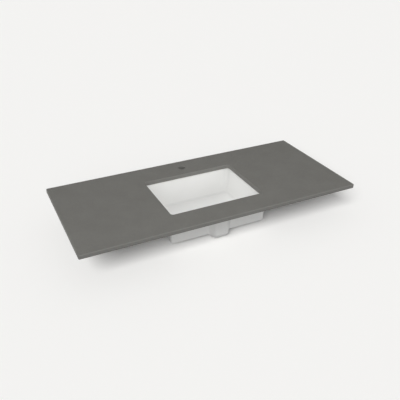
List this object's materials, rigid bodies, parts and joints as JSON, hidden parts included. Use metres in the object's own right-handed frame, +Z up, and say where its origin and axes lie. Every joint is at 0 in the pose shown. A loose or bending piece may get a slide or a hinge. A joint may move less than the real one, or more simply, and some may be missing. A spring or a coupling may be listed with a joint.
{
  "type": "vanity sink top",
  "caption": "Stone vanity top with a rounded rectangular cut-out over an undermount china basin, a tap hole behind it and an overflow hump on the basin's front.",
  "frame": {"origin": "on the slab's underside, on its centre line, 22 mm in front of its back edge, where it bears on the cabinet's back rail", "axes": "+X along the slab, to the right for someone who stands in front of it; +Y towards the wall; +Z up"},
  "size_m": [1.2446, 0.5588, 0.1677],
  "materials": {
    "grey_stone": "honed, fine even grain",
    "white_china": "glossy white glaze",
    "clear_silicone": "smooth, milky",
    "brass": "satin",
    "zinc_steel": "bright zinc plate"
  },
  "bodies": {
    "root": {"stone_top": "grey_stone", "basin": "white_china", "rim_sealant": "clear_silicone", "anchor_1": "brass", "anchor_2": "brass", "anchor_3": "brass", "anchor_4": "brass", "anchor_5": "brass", "anchor_6": "brass", "stud_1": "zinc_steel", "stud_2": "zinc_steel", "stud_3": "zinc_steel", "stud_4": "zinc_steel", "stud_5": "zinc_steel", "stud_6": "zinc_steel", "clip_1": "zinc_steel", "clip_2": "zinc_steel", "clip_3": "zinc_steel", "clip_4": "zinc_steel", "clip_5": "zinc_steel", "clip_6": "zinc_steel", "washer_1": "zinc_steel", "washer_2": "zinc_steel", "washer_3": "zinc_steel", "washer_4": "zinc_steel", "washer_5": "zinc_steel", "washer_6": "zinc_steel", "wing_nut_1": "brass", "wing_nut_2": "brass", "wing_nut_3": "brass", "wing_nut_4": "brass", "wing_nut_5": "brass", "wing_nut_6": "brass"}
  },
  "joints": []
}
